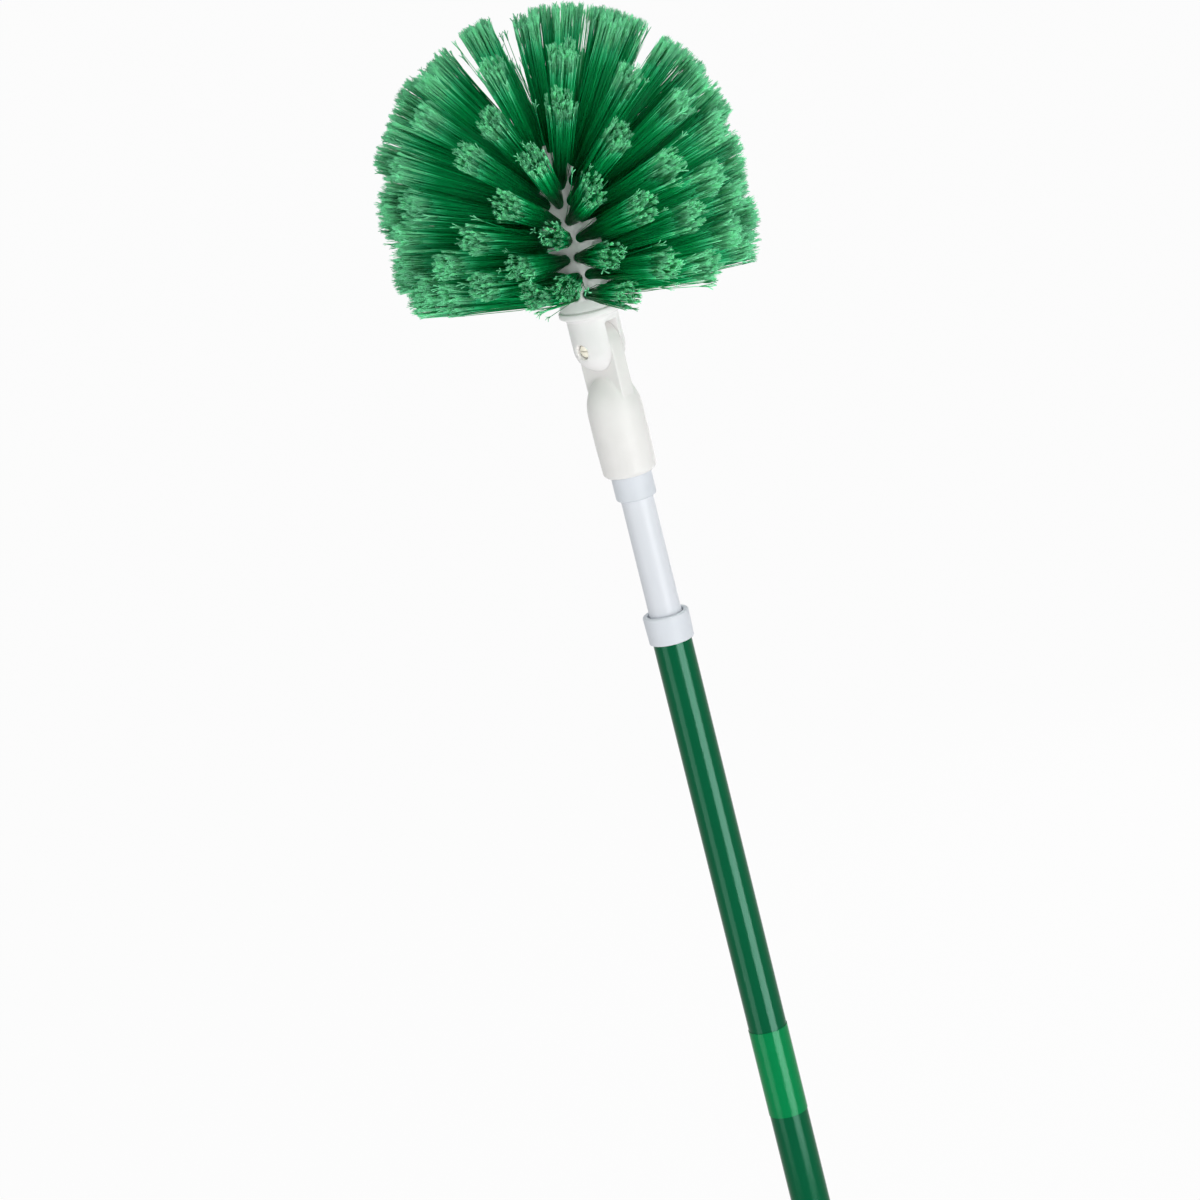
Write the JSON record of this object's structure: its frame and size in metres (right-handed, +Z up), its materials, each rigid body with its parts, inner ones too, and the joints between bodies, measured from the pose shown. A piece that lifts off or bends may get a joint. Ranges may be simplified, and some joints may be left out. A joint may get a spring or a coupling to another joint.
{
  "type": "split tip duster",
  "caption": "Domed cleaning brush with split-tip bristle tufts on a round-nosed block, on a tilting knuckle at the end of a twist-lock telescopic handle.",
  "frame": {"origin": "middle of the end cap's foot, the lowest point of the handle", "axes": "+Z up the handle to the brush head, X along the knuckle's pivot with the screw's head towards -X, Y across it"},
  "size_m": [0.2086, 0.2086, 1.1372],
  "materials": {
    "outer_tube": "glossy dark green paint on steel",
    "end_cap": "satin moulded white",
    "label_band": "glossy printed film, green",
    "outer_collar": "satin moulded cool white",
    "inner_tube": "satin white paint on steel",
    "lock_plug": "moulded grey acetal",
    "lock_ring": "moulded grey acetal",
    "lock_washer": "moulded grey acetal",
    "lock_screw": "zinc-plated steel",
    "threaded_tip": "satin moulded cool white",
    "handle_socket": "satin moulded warm white",
    "knuckle_fork": "satin moulded warm white",
    "pivot_screw": "zinc-plated steel",
    "pivot_nut": "zinc-plated steel",
    "friction_washer_left": "moulded grey acetal",
    "friction_washer_right": "moulded grey acetal",
    "stem_screw": "zinc-plated steel",
    "brush_block": "moulded warm white",
    "bristles": "green filament with lighter split tips"
  },
  "bodies": {
    "handle": {"outer_tube": "outer_tube", "end_cap": "end_cap", "label_band": "label_band", "outer_collar": "outer_collar"},
    "lock": {"lock_ring": "lock_ring"},
    "extension": {"inner_tube": "inner_tube", "lock_plug": "lock_plug", "lock_washer": "lock_washer", "lock_screw": "lock_screw", "threaded_tip": "threaded_tip", "handle_socket": "handle_socket", "friction_washer_left": "friction_washer_left", "friction_washer_right": "friction_washer_right"},
    "head": {"knuckle_fork": "knuckle_fork", "pivot_screw": "pivot_screw", "pivot_nut": "pivot_nut", "stem_screw": "stem_screw", "brush_block": "brush_block", "tuft_row_1": "bristles", "tuft_row_2": "bristles", "tuft_row_3": "bristles", "tuft_row_4": "bristles", "tuft_row_5": "bristles", "tuft_row_6": "bristles", "tuft_row_7": "bristles", "tuft_row_8": "bristles", "tuft_crown": "bristles"}
  },
  "joints": [
    {"name": "telescope_slide", "type": "slide", "parent": "handle", "child": "lock", "axis": [0, 0, 1], "range_m": [-0.067, 0.55]},
    {"name": "lock_twist", "type": "hinge", "parent": "lock", "child": "extension", "pos_m": [0, 0, 0.1478], "axis": [0, 0, 1], "range_deg": [-90, 90]},
    {"name": "head_tilt", "type": "hinge", "parent": "extension", "child": "head", "pos_m": [0, 0, 0.9463], "axis": [1, 0, 0], "range_deg": [-90, 90]}
  ]
}
